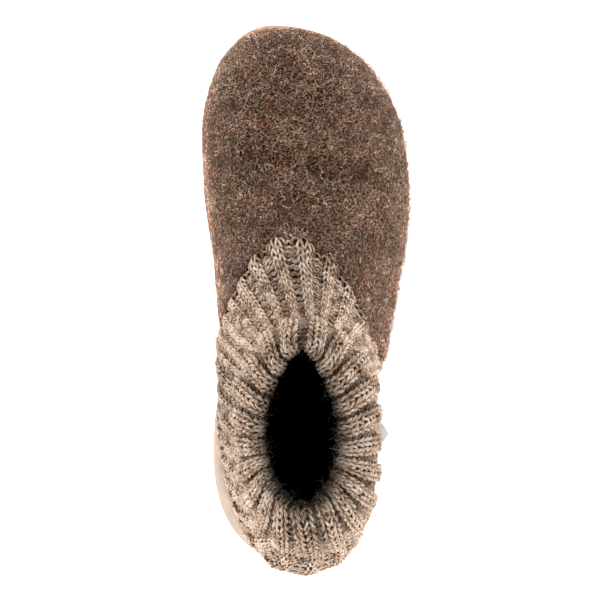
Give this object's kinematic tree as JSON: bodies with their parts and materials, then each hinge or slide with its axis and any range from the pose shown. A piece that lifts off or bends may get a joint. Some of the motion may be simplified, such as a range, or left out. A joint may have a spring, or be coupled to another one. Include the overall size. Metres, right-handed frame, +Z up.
{
  "type": "hut slipper",
  "caption": "Right hut slipper: brown felt vamp, rib-knit quarter and collar with a turned-down cuff, soft wrap sole cupped round the heel, hollow and open at the collar.",
  "frame": {"origin": "middle of the slipper's bounding box, on the floor", "axes": "+X to the little toe side, +Y to the toe, +Z up"},
  "size_m": [0.0998, 0.2622, 0.113],
  "materials": {
    "suede": "napped pale tan suede",
    "insole_felt": "dark felt",
    "brown_felt": "brown melange wool felt",
    "marl_knit": "beige and brown marl wool rib knit",
    "tab_cloth": "plain woven cloth"
  },
  "bodies": {
    "root": {"sole": "suede", "insole": "insole_felt", "felt_vamp": "brown_felt", "knit_collar": "marl_knit", "side_tab": "tab_cloth"}
  },
  "joints": []
}
